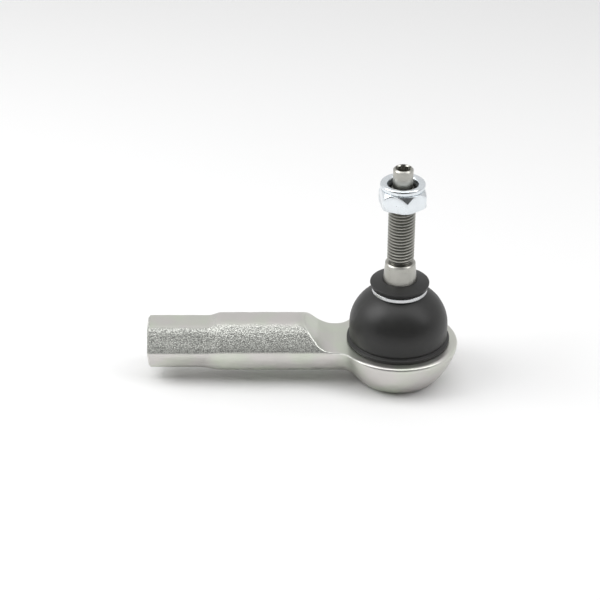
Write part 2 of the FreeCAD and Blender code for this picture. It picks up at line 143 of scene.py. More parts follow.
class NutSettings(bpy.types.PropertyGroup):
    across_flats: length("Across flats", "Width of the nut's hexagon", 16.0)
    corner_round: length("Corner round", "Radius of the hexagon's corners", 0.5)
    turn: FloatProperty(name="Turn", description="How far a corner stands from the front",
                        default=math.radians(8.5), subtype="ANGLE", unit="ROTATION")


class BootSettings(bpy.types.PropertyGroup):
    wall: length("Wall", "Thickness of the boot's rubber", 1.5)
    seam: length("Hinge height", "Height above the ball where the boot's two bends meet", 12.5)
    columns: IntProperty(name="Columns", description="Faces round each turned piece",
                         default=144, min=48, max=360)


class FinishSettings(bpy.types.PropertyGroup):
    zinc: colour("Forging zinc", "Passivated zinc on the forging", (0.66, 0.67, 0.63))
    steel: colour("Stud steel", "Turned steel of the stud", (0.46, 0.455, 0.42))
    bright_zinc: colour("Nut zinc", "Bright zinc on the nut", (0.80, 0.84, 0.87))
    band: colour("Band steel", "Bright strip of the boot's band", (0.62, 0.63, 0.64))
    rubber: colour("Rubber", "Charcoal rubber of the boot", (0.0125, 0.0125, 0.012))
    nylon: colour("Nylon", "Locking ring of the nut", (0.06, 0.065, 0.065))
    acetal: colour("Acetal", "Ball seats", (0.80, 0.78, 0.70))
    spring: colour("Spring steel", "Blued disc spring", (0.12, 0.13, 0.16))


# --- outlines and rings -----------------------------------------------------------

def rounded(points, steps=5):
    """Rounds an outline's corners. A point is (radius, height) or (radius, height, corner radius)."""
    places = [np.array(point[:2], float) for point in points]
    out = []
    for index, point in enumerate(points):
        here = places[index]
        if index in (0, len(points) - 1) or len(point) < 3:
            out.append(tuple(here))
            continue
        back = places[index - 1] - here
        ahead = places[index + 1] - here
        reach = 0.49 * min(np.linalg.norm(back), np.linalg.norm(ahead))
        back = back / np.linalg.norm(back)
        ahead = ahead / np.linalg.norm(ahead)
        half = math.acos(np.clip(back @ ahead, -1, 1)) / 2
        cut = min(point[2] / math.tan(half), reach)
        radius = cut * math.tan(half)
        middle = (back + ahead) / np.linalg.norm(back + ahead)
        centre = here + middle * radius / math.sin(half)
        first = here + back * cut - centre
        last = here + ahead * cut - centre
        for step in range(steps + 1):
            arm = first + (last - first) * step / steps
            out.append(tuple(centre + arm / np.linalg.norm(arm) * radius))
    return out


def arc(centre, size, first, last, steps):
    """Points of an oval arc between two angles in degrees."""
    angles = np.radians(np.linspace(first, last, steps + 1))
    return [(centre[0] + size[0] * math.cos(a), centre[1] + size[1] * math.sin(a)) for a in angles]


def even_angles(columns):
    return np.arange(columns) * 2 * math.pi / columns


def ring(radius, height, angles):
    """A ring about the stud's axis, in metres. Radius and height may vary round it."""
    radius = np.broadcast_to(radius, angles.shape) * MM
    height = np.broadcast_to(height, angles.shape) * MM
    return np.stack([BALL.x + radius * np.cos(angles), radius * np.sin(angles), BALL.z + height], 1)


def stem_ring(radius, place, angles):
    """A ring about the stem's axis, in metres."""
    radius = np.broadcast_to(radius, angles.shape) * MM
    place = np.broadcast_to(place, angles.shape) * MM
    return np.stack([place, radius * np.cos(angles), radius * np.sin(angles)], 1)


SHARP_ANGLE = math.radians(38.0)
WELD = 1e-6              # metres
# One turn of thread: (share of the pitch, share of the depth), crest first
THREAD_ROWS = [(0.0, 1.0), (0.05, 1.0), (0.075, 0.93), (0.22, 0.5), (0.375, 0.0),
               (0.5, -0.04), (0.625, 0.0), (0.78, 0.5), (0.925, 0.93), (0.95, 1.0)]


def thread_rings(make_ring, low, high, pitch, root, depth, limit, angles):
    """Rings that follow a right-hand thread from low to high, each one a turn of the helix.

    limit(height, radius) trims the thread to its blank, and has one radius at each end.
    """
    turn = angles / (2 * math.pi)
    first = math.floor(low / pitch) - 3
    last = math.ceil(high / pitch) + 3
    rings = []
    for index in range(first, last):
        for share, rise in THREAD_ROWS:
            height = np.clip((index + share + turn) * pitch, low, high)
            rings.append(make_ring(limit(height, root + depth * rise), height, angles))
    return rings


def skin(name, before, thread=(), after=(), join=False):
    """A closed skin over rings of equal length: plain ones, a thread, and plain ones.

    A thread's ring meets the ring one turn on where it closes. The ends are capped, or
    joined to each other if join is set.
    """
    rings = [*before, *thread, *after]
    columns = len(rings[0])
    closing = list(range(len(rings)))
    last_thread = len(before) + len(thread) - 1
    for row in range(len(before), last_thread + 1):
        closing[row] = min(row + len(THREAD_ROWS), last_thread)
    faces = []
    for row in range(len(rings) if join else len(rings) - 1):
        above = (row + 1) % len(rings)
        for column in range(columns - 1):
            low = row * columns + column
            high = above * columns + column
            faces.append((low, low + 1, high + 1, high))
        faces.append(((row + 1) * columns - 1, closing[row] * columns,
                      closing[above] * columns, (above + 1) * columns - 1))
    if not join:
        faces.append(tuple(range(columns)))
        faces.append(tuple(range((len(rings) - 1) * columns, len(rings) * columns)))
    mesh = bpy.data.meshes.new(name)
    mesh.from_pydata(np.concatenate(rings).tolist(), [], faces)
    return finish_mesh(name, mesh)


def finish_mesh(name, mesh):
    """Welds a mesh, turns its faces outwards, and smooths it except at real edges."""
    work = bmesh.new()
    work.from_mesh(mesh)
    bmesh.ops.remove_doubles(work, verts=work.verts, dist=WELD)
    bmesh.ops.dissolve_degenerate(work, edges=work.edges, dist=WELD)
    bmesh.ops.recalc_face_normals(work, faces=work.faces)
    work.to_mesh(mesh)
    work.free()
    mesh.polygons.foreach_set("use_smooth", [True] * len(mesh.polygons))
    mesh.set_sharp_from_angle(angle=SHARP_ANGLE)
    piece = bpy.data.objects.new(name, mesh)
    bpy.context.scene.collection.objects.link(piece)
    return piece


def turned(name, outline, columns):
    """A turned piece from a closed outline, or from one that runs from the axis to the axis."""
    angles = even_angles(columns)
    rings = [ring(radius, height, angles) for radius, height in outline]
    solid = outline[0][0] < MM
    return skin(name, rings, join=not solid)


def dress(piece, node, body, material):
    """Gives a finished piece its material and puts it in place of its CAD node.
    """
    piece.data.materials.clear()
    piece.data.materials.append(material)
    if body:
        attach(piece, body)
    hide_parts(node)


# --- materials --------------------------------------------------------------------

class Recipe:
    """A material that is built up from nodes on one shader."""

    def __init__(self, name, **settings):
        self.material = bpy.data.materials.new(name)
        self.material.use_nodes = True
        self.tree = self.material.node_tree
        self.shader = self.tree.nodes["Principled BSDF"]
        self.place = self.add("ShaderNodeTexCoord").outputs["Object"]
        for socket, value in settings.items():
            self.shader.inputs[socket.replace("_", " ")].default_value = value

    def add(self, kind, inputs=(), **settings):
        """Adds a node. An input's value is a number, a colour or another node's output."""
        node = self.tree.nodes.new(kind)
        for setting, value in settings.items():
            setattr(node, setting, value)
        for socket, value in dict(inputs).items():
            if isinstance(value, bpy.types.NodeSocket):
                self.tree.links.new(value, node.inputs[socket])
            else:
                node.inputs[socket].default_value = value
        return node

    def noise(self, size, detail=3.0, stretch=(1, 1, 1), place=None):
        """Noise whose grains measure size millimetres."""
        scaled = self.add("ShaderNodeVectorMath", {0: place or self.place, 1: stretch},
                          operation="MULTIPLY").outputs[0]
        return self.add("ShaderNodeTexNoise", {"Vector": scaled, "Scale": 1 / (size * MM),
                                               "Detail": detail}).outputs["Fac"]

    def ranged(self, value, low, high, new_low, new_high):
        """Maps a value from one range to another, and holds it there."""
        return self.add("ShaderNodeMapRange", {0: value, 1: low, 2: high, 3: new_low, 4: new_high},
                        clamp=True).outputs[0]

    def maths(self, operation, first, second):
        return self.add("ShaderNodeMath", {0: first, 1: second}, operation=operation).outputs[0]

    def mixed(self, share, first, second):
        """A colour between two, each a colour or another node's output."""
        node = self.add("ShaderNodeMix", {"Factor": share}, data_type="RGBA")
        for socket, value in ((node.inputs[6], first), (node.inputs[7], second)):
            if isinstance(value, bpy.types.NodeSocket):
                self.tree.links.new(value, socket)
            else:
                socket.default_value = (*value, 1.0)
        return node.outputs[2]

    def mark(self, name):
        """A measure that the mesh carries at its points."""
        return self.add("ShaderNodeAttribute", attribute_name=name).outputs["Fac"]

    def turning(self, size):
        """Fine rings that a lathe leaves about the stud's axis, size millimetres apart."""
        centred = self.add("ShaderNodeVectorMath", {0: self.place, 1: tuple(BALL)},
                           operation="SUBTRACT").outputs[0]
        parts = self.add("ShaderNodeSeparateXYZ", {0: centred})
        flat = self.add("ShaderNodeCombineXYZ", {0: parts.outputs[0], 1: parts.outputs[1]})
        radius = self.add("ShaderNodeVectorMath", {0: flat.outputs[0]},
                          operation="LENGTH").outputs["Value"]
        along = self.add("ShaderNodeCombineXYZ", {0: radius, 2: parts.outputs[2]}).outputs[0]
        return self.noise(size, 2.0, place=along)

    def finish(self, colour_output, roughness, *bumps):
        """Links the colour and roughness, and stacks bumps of (height, distance in mm, strength)."""
        self.tree.links.new(colour_output, self.shader.inputs["Base Color"])
        self.tree.links.new(roughness, self.shader.inputs["Roughness"])
        normal = None
        for height, distance, strength in bumps:
            node = self.add("ShaderNodeBump", {"Height": height, "Distance": distance * MM,
                                               "Strength": strength})
            if normal:
                self.tree.links.new(normal, node.inputs["Normal"])
            normal = node.outputs["Normal"]
        self.tree.links.new(normal, self.shader.inputs["Normal"])
        return self.material


def tone(colour_value, factor):
    return tuple(min(1.0, channel * factor) for channel in colour_value)


def forged_zinc(finish):
    """Grainy forged skin under passivated zinc, smoother where the cutter has been."""
    recipe = Recipe("forged_zinc", Metallic=0.93)
    forged = recipe.mark("forged")
    blasted = recipe.mark("grain")
    blotch = recipe.noise(9.0)
    tint = recipe.noise(16.0, 2.0)
    grain = recipe.noise(0.5, 3.0)
    fine = recipe.noise(0.22, 2.0)
    base = tuple(finish.zinc)
    green = (base[0] * 0.97, base[1], base[2] * 0.93)
    pink = (base[0], base[1] * 0.95, base[2] * 0.98)
    hue = recipe.mixed(recipe.ranged(tint, 0.4, 0.6, 0, 1), green, pink)
    worn = recipe.mixed(recipe.ranged(blotch, 0.35, 0.75, 0, 0.3), hue, tone(base, 0.85))
    # painted light and shade: the grained skin is painted lighter where it faces up and darker on steep
    # faces
    painted_slope_light_and_shade = recipe.mixed(recipe.mark("shade"), tone(base, 1.12), tone(base, 0.62))
    skin = recipe.mixed(blasted, worn, painted_slope_light_and_shade)
    # painted shade: the grain's low points, where the bump sinks, are painted darker
    painted_pit_shade = recipe.mixed(recipe.ranged(grain, 0.42, 0.58, 0.75, 0.0), skin, tone(base, 0.3))
    grain_with_painted_shade = recipe.mixed(blasted, skin, painted_pit_shade)
    # painted highlight: a bright line of colour along the milled edges
    edge = recipe.mixed(recipe.mark("edge"), grain_with_painted_shade, tone(base, 1.25))
    rough = recipe.maths("ADD", recipe.ranged(blasted, 0, 1, 0.34, 0.4),
                         recipe.ranged(blotch, 0.3, 0.7, -0.03, 0.04))
    pebbles = recipe.maths("MULTIPLY", grain, recipe.ranged(blasted, 0, 1, 0.12, 1.0))
    skin_height = recipe.maths("MULTIPLY", pebbles, forged)
    cutter = recipe.noise(0.5, 1.0, stretch=(1.0, 0.04, 1.0))
    milled = recipe.maths("MULTIPLY", cutter, recipe.maths("SUBTRACT", 1.0, forged))
    return recipe.finish(edge, rough, (skin_height, 0.45, 1.0), (fine, 0.04, 0.3), (milled, 0.02, 0.3))


def lathe_steel(name, base, rough, size=0.35):
    """Metal with fine turning rings and faint stains."""
    recipe = Recipe(name, Metallic=1.0)
    rings = recipe.turning(size)
    stain = recipe.noise(4.0)
    stained = recipe.mixed(recipe.ranged(stain, 0.35, 0.7, 0, 0.5), base, tone(base, 0.8))
    # painted shade: the thread's grooves are painted darker
    groove = recipe.ranged(recipe.mark("groove"), 0.15, 0.9, 0, 0.9)
    hue = recipe.mixed(groove, stained, tone(base, 0.26))
    scratch = recipe.noise(0.9, 2.0, stretch=(1, 1, 0.12))
    roughness = recipe.maths("ADD", recipe.ranged(rings, 0.3, 0.7, rough - 0.04, rough + 0.05),
                             recipe.ranged(scratch, 0.5, 0.8, 0, 0.06))
    return recipe.finish(hue, roughness, (rings, 0.015, 0.5), (scratch, 0.01, 0.2))


def plated_zinc(base):
    """Bright zinc plate with the soft ripple of cold forging."""
    recipe = Recipe("bright_zinc", Metallic=1.0)
    ripple = recipe.noise(1.6, 2.0)
    haze = recipe.noise(3.5)
    fine = recipe.noise(0.2, 2.0)
    hue = recipe.mixed(recipe.ranged(haze, 0.35, 0.7, 0, 0.5), base, tone(base, 0.9))
    rough = recipe.ranged(haze, 0.3, 0.7, 0.2, 0.3)
    return recipe.finish(hue, rough, (ripple, 0.05, 0.3), (fine, 0.012, 0.3))


def charcoal_rubber(base):
    """Moulded rubber: satin, with mould haze and fine dust."""
    recipe = Recipe("charcoal_rubber", Metallic=0.0)
    recipe.shader.inputs["Specular IOR Level"].default_value = 0.5
    haze = recipe.noise(6.0)
    fine = recipe.noise(0.18, 3.0)
    dust = recipe.ranged(recipe.noise(0.35, 4.0), 0.66, 0.8, 0, 0.35)
    hue = recipe.mixed(recipe.ranged(haze, 0.3, 0.7, 0, 1), base, tone(base, 1.35))
    dusted = recipe.mixed(dust, hue, tone(base, 3.5))
    rough = recipe.maths("ADD", recipe.ranged(haze, 0.3, 0.7, 0.38, 0.46),
                         recipe.ranged(fine, 0.3, 0.7, -0.03, 0.05))
    return recipe.finish(dusted, rough, (fine, 0.03, 0.4), (haze, 0.1, 0.15))


def moulded_plastic(name, base, rough):
    """Plain moulded plastic with flow marks."""
    recipe = Recipe(name, Metallic=0.0)
    flow = recipe.noise(3.0, 3.0, stretch=(1, 1, 0.4))
    fine = recipe.noise(0.25, 2.0)
    hue = recipe.mixed(recipe.ranged(flow, 0.3, 0.7, 0, 1), base, tone(base, 0.85))
    return recipe.finish(hue, recipe.ranged(flow, 0.3, 0.7, rough, rough + 0.08), (fine, 0.02, 0.3))


# --- forging ----------------------------------------------------------------------

FLARE_TOP_X = 22.4       # where the top of the stem begins to widen
FLARE_LOW_X = 19.0       # and the underside
FLARE_END_X = 27.4
PART_LINE_Z = (0.5, 1.4) # die's parting line on the narrow end and on the stem
PART_LINE_BLEND = 0.15
STEM_CORNER_ROUND = 0.6
COS_30 = 0.866
UNEVENNESS = 0.03        # how much the forging's skin waves in and out
OVERCUT = 1.0            # how far a cutter reaches past the face it opens
BORE_LEAD = 0.15         # the mouth's lead-in is this much wider than the thread
BORE_RUNOUT = 2.0        # untapped length at the bottom of the tapped hole
DRILL_HALF_ANGLE = math.radians(59)
MOUTH_CHAMFER = 0.8
RAMP_TOP_X = 58.1
RAMP_ANGLE = math.radians(50.0)
RAMP_RUNOUT = 3.0
RIM_ROUND = 1.6          # extra softness at the bowl's rim
RIM_X = (76.0, 84.0)     # it comes in between these places along the stem
CREST_ROUND = 2.0        # extra softness where the ramp leaves the stem's crest
CREST_Z = (8.8, 10.8)    # it comes in between these heights
COLLAR_ROOT = 0.5        # softness between the deck and the collar
GRAIN_END_X = (68.0, 74.0)  # the blasted grain fades out here, on the neck
GRAIN_UP = (0.84, 0.95)  # and where the skin faces up, by its normal's height
PAINTED_SHADE_UP = (0.05, 0.75)  # painted shade: the grain is painted darker on steep faces than on these, and lighter as it faces up
CELL_MARGIN = 3          # room round the forging in its grid of distances
BOWL_ARC_R = 32.36       # the bowl's wall is an arc of this radius
BOWL_ARC_OUT = -8.76     # with its centre this far from the stud's axis, past it
BOWL_ARC_Z = 7.64        # and this far above the ball
BOWL_ROLL = 1.2          # round edge of the rolled lip
COLLAR_R = 15.4
COLLAR_CHAMFER = 0.9
SOCKET_OUTLINE = [(13.0, 0.0), (13.0, 0.9), (14.4, 0.9), (14.4, 2.3), (13.2, 2.3), (13.2, 16.9),
                  (10.3, 21.3), (9.9, 21.3), (10.4, 23.7)]  # heights from the foot


def ease(low, high, value):
    share = np.clip((value - low) / (high - low), 0, 1)
    return share * share * (3 - 2 * share)


def soft_min(first, second, reach):
    """The lesser of two distances, rounded where they cross."""
    near = np.maximum(reach - np.abs(first - second), 0) / reach
    return np.minimum(first, second) - near * near * reach / 4


def soft_max(first, second, reach):
    return -soft_min(-first, -second, reach)


def chamfered(first, second, size):
    """The greater of two distances, with a chamfer where they cross."""
    return np.maximum(np.maximum(first, second), (first + second + size) * math.sqrt(0.5))


class Forging:
    """Distances to the forging's surface, in millimetres, for arrays of points."""

    def __init__(self, settings):
        self.rod_end = settings.rod_end / MM
        self.rod_end_flat = settings.rod_end_flat / MM
        self.stem = settings.stem / MM
        self.stem_flat = settings.stem_flat / MM
        self.deck = settings.deck / MM
        self.edge = settings.edge_round / MM
        self.neck = settings.neck_blend / MM

    def bar(self, x, y, z):
        """The stem: round, with six faint flats, and a step where its die halves meet."""
        start = FLARE_TOP_X + (FLARE_LOW_X - FLARE_TOP_X) * ease(2.0, -8.0, z)
        grown = ease(0, 1, (x - start) / (FLARE_END_X - start))
        radius = self.rod_end + (self.stem - self.rod_end) * grown
        flat = self.rod_end_flat + (self.stem_flat - self.rod_end_flat) * grown
        line = PART_LINE_Z[0] + (PART_LINE_Z[1] - PART_LINE_Z[0]) * grown
        halves = []
        for height in (z, (z - line) * radius / (radius + line)):
            leaning = np.maximum(np.abs(y * COS_30 + height * 0.5), np.abs(y * COS_30 - height * 0.5))
            flats = np.maximum(np.abs(height), leaning) - flat
            halves.append(soft_max(np.hypot(y, height) - radius, flats, STEM_CORNER_ROUND))
        upper, lower = halves
        share = ease(line - PART_LINE_BLEND, line + PART_LINE_BLEND, z)
        side = lower + (upper - lower) * share
        return np.maximum(chamfered(side, MOUTH_X - x, MOUTH_CHAMFER), x - BALL_X)

    def bowl(self, x, y, z):
        """The bowl round the ball: one arc from the deck's rim down to the rolled lip."""
        out = np.hypot(x - BALL_X, y)
        side = np.hypot(out - BOWL_ARC_OUT, z - BOWL_ARC_Z) - BOWL_ARC_R
        return soft_max(side, FOOT_Z - z, BOWL_ROLL)

    def cut(self, x, z):
        """The milled deck and the ramp down to it: positive in the air."""
        deck = z - self.deck
        ramp = (x - RAMP_TOP_X) * math.sin(RAMP_ANGLE) + (z - self.stem) * math.cos(RAMP_ANGLE)
        corner = np.hypot(np.maximum(RAMP_RUNOUT - deck, 0), np.maximum(RAMP_RUNOUT - ramp, 0))
        return np.maximum(RAMP_RUNOUT, np.minimum(deck, ramp)) - corner

    def collar(self, x, y, z):
        """The upright collar under the boot."""
        side = np.hypot(x - BALL_X, y) - COLLAR_R
        return np.maximum(chamfered(side, z - COLLAR_TOP, COLLAR_CHAMFER), -z)

    def blank(self, x, y, z):
        """The forging before milling, a little uneven as it leaves the die."""
        uneven = (np.sin(x * 0.71 + y * 0.4) * np.sin(y * 0.83 - z * 0.5)
                  + np.sin(z * 0.9 + x * 0.37 + 1.3) * np.sin(x * 0.29 - 0.7)) * UNEVENNESS
        return soft_min(self.bar(x, y, z), self.bowl(x, y, z), self.neck) + uneven

    def distance(self, points):
        x, y, z = points[..., 0], points[..., 1], points[..., 2]
        softness = self.edge + CREST_ROUND * ease(*CREST_Z, z) + RIM_ROUND * ease(*RIM_X, x)
        milled = soft_max(self.blank(x, y, z), self.cut(x, z), softness)
        return soft_min(milled, self.collar(x, y, z), COLLAR_ROOT)

    def slope(self, points):
        """The surface's normal at each point, not yet of unit length."""
        step = 0.01
        parts = []
        for axis in range(3):
            shift = np.zeros(3)
            shift[axis] = step
            parts.append((self.distance(points + shift) - self.distance(points - shift)) / (2 * step))
        return np.stack(parts, -1)

    def settle(self, points):
        """Moves points onto the surface."""
        for _ in range(3):
            slope = self.slope(points)
            steep = np.maximum((slope ** 2).sum(-1, keepdims=True), 1e-6)
            points = points - self.distance(points)[..., None] * slope / steep
        return points


def even_out(forging, points, quads, rounds=6):
    """Spreads a mesh's points evenly over the forging."""
    pairs = np.concatenate([quads[:, [0, 1]], quads[:, [1, 2]], quads[:, [2, 3]], quads[:, [3, 0]]])
    pairs = np.concatenate([pairs, pairs[:, ::-1]])
    count = np.bincount(pairs[:, 0], minlength=len(points))[:, None]
    for _ in range(rounds):
        total = np.stack([np.bincount(pairs[:, 0], points[pairs[:, 1], axis], len(points))
                          for axis in range(3)], 1)
        pull = total / count - points
        normal = forging.slope(points)
        normal = normal / np.linalg.norm(normal, axis=1, keepdims=True)
        pull = pull - (pull * normal).sum(1, keepdims=True) * normal
        points = forging.settle(points + 0.6 * pull)
    return points


def forging_skin(forging, cell):
    """The forging's outer skin as points in millimetres and quads."""
    low = np.array([MOUTH_X, -BOSS_R, FOOT_Z]) - CELL_MARGIN
    high = np.array([BALL_X + BOSS_R, BOSS_R, forging.stem]) + CELL_MARGIN
    axes = [np.arange(low[axis], high[axis], cell) for axis in range(3)]
    field = forging.distance(np.stack(np.meshgrid(*axes, indexing="ij"), -1))
    grid = openvdb.FloatGrid(10.0)
    grid.copyFromArray(field.astype(np.float32))
    points, quads = grid.convertToQuads(isovalue=0.0)
    points = forging.settle(low + points.astype(float) * cell)
    return even_out(forging, points, quads.astype(int)), quads


def carve(piece, cutter):
    """Cuts one closed mesh out of another and drops the cutter."""
    modifier = piece.modifiers.new("cut", "BOOLEAN")
    modifier.operation = "DIFFERENCE"
    modifier.solver = "MANIFOLD"
    modifier.object = cutter
    graph = bpy.context.evaluated_depsgraph_get()
    mesh = bpy.data.meshes.new_from_object(piece.evaluated_get(graph))
    name = piece.name
    bpy.data.objects.remove(piece)
    bpy.data.objects.remove(cutter)
    return finish_mesh(name, mesh)


def socket_cutter():
    """The bored socket for the ball, its seats and the cover."""
    angles = even_angles(120)
    opening = SOCKET_OUTLINE[0][0]
    top = SOCKET_OUTLINE[-1][1]
    outline = [(0.01, -OVERCUT), (opening, -OVERCUT), *SOCKET_OUTLINE[1:], (0.01, top)]
    rings = [ring(radius, FOOT_Z + height, angles) for radius, height in outline]
    return skin("socket_cutter", rings)


def bore_cutter(settings):
    """The tapped hole for the rod, with its lead-in and drill point."""
    angles = even_angles(64)
    minor = settings.thread_minor / MM
    depth = settings.thread_depth / MM
    deep = settings.thread_length / MM
    low = MOUTH_X - OVERCUT
    lead = minor + depth + BORE_LEAD

    def limit(place, radius):
        opening = lead - (place - MOUTH_X)
        tapped = np.where(place > deep - BORE_RUNOUT, minor, np.maximum(radius, minor))
        return np.where(place <= low + 1e-6, lead + OVERCUT, np.maximum(tapped, opening))

    before = [stem_ring(lead + OVERCUT, low, angles)]
    thread = thread_rings(stem_ring, low, deep, settings.thread_pitch / MM, minor, depth, limit, angles)
    point = minor / math.tan(DRILL_HALF_ANGLE)
    after = [stem_ring(minor, deep, angles), stem_ring(0.02, deep + point, angles)]
    return skin("bore_cutter", before, thread, after)


def mark_forging(piece, forging):
    """Stores where the skin is as forged, where the grain is painted lighter or darker by its slope, and
    where a painted highlight runs along the milled edges, and gives exact normals.
    """
    mesh = piece.data
    points = np.zeros(len(mesh.vertices) * 3, np.float32)
    mesh.vertices.foreach_get("co", points)
    points = points.reshape(-1, 3).astype(float) / MM
    x, y, z = points.T
    slope = forging.slope(points)
    slope = slope / np.maximum(np.linalg.norm(slope, axis=1, keepdims=True), 1e-9)
    outside = np.abs(forging.distance(points)) < 0.02
    cut = forging.cut(x, z)
    blank = forging.blank(x, y, z)
    forged = ease(0.05, 0.6, -cut) * (x > MOUTH_X + 0.1) * outside
    line = PART_LINE_Z[0] + (PART_LINE_Z[1] - PART_LINE_Z[0]) * ease(FLARE_TOP_X, FLARE_END_X, x)
    facing = 1 - ease(*GRAIN_UP, slope[:, 2])
    grain = forged * ease(-0.05, 0.15, z - line) * facing * (1 - ease(*GRAIN_END_X, x))
    # painted shade on the grain, stronger the steeper its face
    shade = grain * (1 - ease(*PAINTED_SHADE_UP, slope[:, 2]))
    # painted highlight where the milling meets the forged skin
    edge = np.exp(-((cut + 0.12) ** 2 + (blank + 0.12) ** 2) / 0.12) * outside
    marks = {"forged": forged, "grain": grain, "shade": shade, "edge": np.clip(edge, 0, 1)}
    for name, values in marks.items():
        layer = mesh.attributes.new(name, "FLOAT", "POINT")
        layer.data.foreach_set("value", values.astype(np.float32))
    corners = np.zeros(len(mesh.loops), int)
    mesh.loops.foreach_get("vertex_index", corners)
    normals = np.zeros(len(mesh.loops) * 3, np.float32)
    mesh.corner_normals.foreach_get("vector", normals)
    normals = normals.reshape(-1, 3)
    exact = slope[corners]
    agrees = outside[corners] & ((normals * exact).sum(1) > 0.9)
    normals[agrees] = exact[agrees]
    mesh.normals_split_custom_set(normals.tolist())


def make_forging(settings, finish):
    """The forged housing: stem, milled neck and bowl, with its tapped hole and socket."""
    forging = Forging(settings)
    points, quads = forging_skin(forging, settings.cell / MM)
    mesh = bpy.data.meshes.new("housing_forging")
    mesh.from_pydata((points * MM).tolist(), [], quads.tolist())
    piece = finish_mesh("housing_forging", mesh)
    piece = carve(piece, bore_cutter(settings))
    piece = carve(piece, socket_cutter())
    mark_forging(piece, forging)
    dress(piece, "housing", "housing_body", forged_zinc(finish))


# --- bottom cover and what the socket holds ---------------------------------------

def make_cover(finish):
    """The pressed disc under the ball, held by the rolled lip."""
    dish = 0.7
    outline = rounded([(0, COVER_LOW + dish), (9.0, COVER_LOW + dish, 0.8), (10.2, COVER_LOW, 0.6),
                       (COVER_R, COVER_LOW, 0.25), (COVER_R, COVER_TOP, 0.25),
                       (10.2, COVER_TOP, 0.4), (9.0, COVER_TOP - 0.1, 0.4), (0, COVER_TOP - 0.1)])
    piece = turned("bottom_cover", outline, 120)
    dress(piece, "end_cover", "housing_body",
          lathe_steel("cover_steel", tone(finish.band, 0.95), 0.34, 0.5))


def finish_inner_parts(finish):
    """Materials for the CAD parts that stay: seats, spring and the boot's base ring."""
    acetal = moulded_plastic("acetal", tuple(finish.acetal), 0.4)
    materials = {
        "upper_ball_seat": acetal,
        "lower_ball_seat": acetal,
        "seat_spring": lathe_steel("spring_steel", tuple(finish.spring), 0.35),
        "boot_base_ring": lathe_steel("base_ring_steel", tone(finish.band, 0.85), 0.4),
    }
    for node, material in materials.items():
        piece = frame["nodes"][node]
        piece.data.materials.clear()
        piece.data.materials.append(material)


# --- ball stud --------------------------------------------------------------------

LEDGE_Z = 35.15
THREAD_TOP_Z = 65.6
TAPER_LOW = (6.85, 21.0)
TAPER_TOP = (5.65, 34.6)
NECK_R = 5.2             # waist between the ball and the taper
NECK_Z = (10.8, 14.0)
BALL_TOP_ANGLE = 58.0
UNDERCUT = 0.8           # the thread runs out in a groove this much below its crests
THREAD_LEAD = 0.9        # chamfer at the thread's upper end
KEY_DEPTH = 5.5
KEY_MOUTH = 0.45         # chamfer of the key socket
KEY_POINT = 1.3          # drill point below it


def hexagon_radius(flat, angles):
    """How far a hexagon reaches at each angle. A flat faces angle zero."""
    sixth = math.pi / 3
    away = (angles + sixth / 2) % sixth - sixth / 2
    return flat / np.cos(away)


def stud_limit(crest):
    """The blank's radius over the threaded length: undercut, run-in and lead-in."""
    heights = [LEDGE_Z, LEDGE_Z + 0.65, LEDGE_Z + 1.3, THREAD_TOP_Z - THREAD_LEAD, THREAD_TOP_Z]
    radii = [crest - UNDERCUT, crest - UNDERCUT, crest, crest, crest - THREAD_LEAD]
    return lambda height, radius: np.minimum(radius, np.interp(height, heights, radii))


def mark_grooves(piece, crest, depth):
    """Stores how deep in the thread's groove each point lies, where the steel is painted darker as shade.
    """
    points = np.array([vertex.co for vertex in piece.data.vertices]) / MM - np.array(BALL) / MM
    below = (crest - np.hypot(points[:, 0], points[:, 1])) / depth
    threaded = (points[:, 2] > LEDGE_Z) & (points[:, 2] < THREAD_TOP_Z)
    layer = piece.data.attributes.new("groove", "FLOAT", "POINT")
    layer.data.foreach_set("value", (np.clip(below, 0, 1) * threaded).astype(np.float32))


def make_stud(settings, finish):
    """Ball, neck, taper, real thread and plain end with its key socket."""
    angles = even_angles(120)
    crest = settings.crest / MM
    plain = settings.plain / MM
    flat = settings.key_flats / MM / 2
    ball = arc((0, 0), (STUD_R, STUD_R), math.degrees(math.asin(BALL_LOW / STUD_R)), BALL_TOP_ANGLE, 40)
    lower = [(0.01, BALL_LOW), *ball]
    neck = rounded([ball[-1], (NECK_R, NECK_Z[0], 1.2), (NECK_R, NECK_Z[1], 8.0), (*TAPER_LOW, 6.0),
                    (*TAPER_TOP, 0.15), (TAPER_TOP[0] - 0.45, LEDGE_Z - 0.05, 0.15),
                    (crest - UNDERCUT, LEDGE_Z)], 8)
    before = [ring(r, h, angles) for r, h in [*lower, *neck[1:]]]
    limit = stud_limit(crest)
    thread = thread_rings(ring, LEDGE_Z, THREAD_TOP_Z, settings.pitch / MM, crest - settings.depth / MM,
                          settings.depth / MM, limit, angles)
    key = hexagon_radius(flat, angles)
    top = rounded([(crest - THREAD_LEAD, THREAD_TOP_Z), (plain, THREAD_TOP_Z + 0.25, 0.12),
                   (plain, STUD_TOP - 0.55, 0.15), (plain - 0.55, STUD_TOP, 0.12),
                   (key.max() + 0.06, STUD_TOP)])
    after = [ring(r, h, angles) for r, h in top]
    after.append(ring(np.minimum(key + KEY_MOUTH, key.max() + 0.05), STUD_TOP - 0.02, angles))
    after.append(ring(key, STUD_TOP - KEY_MOUTH, angles))
    after.append(ring(key, STUD_TOP - KEY_DEPTH, angles))
    after.append(ring(key * 0.93, STUD_TOP - KEY_DEPTH, angles))
    after.append(ring(0.02, STUD_TOP - KEY_DEPTH - KEY_POINT, angles))
    piece = skin("threaded_ball_stud", before, thread, after)
    mark_grooves(piece, crest, settings.depth / MM)
    dress(piece, "ball_stud", "stud_body",
          lathe_steel("stud_steel", tuple(finish.steel), 0.3))


# --- lock nut ---------------------------------------------------------------------

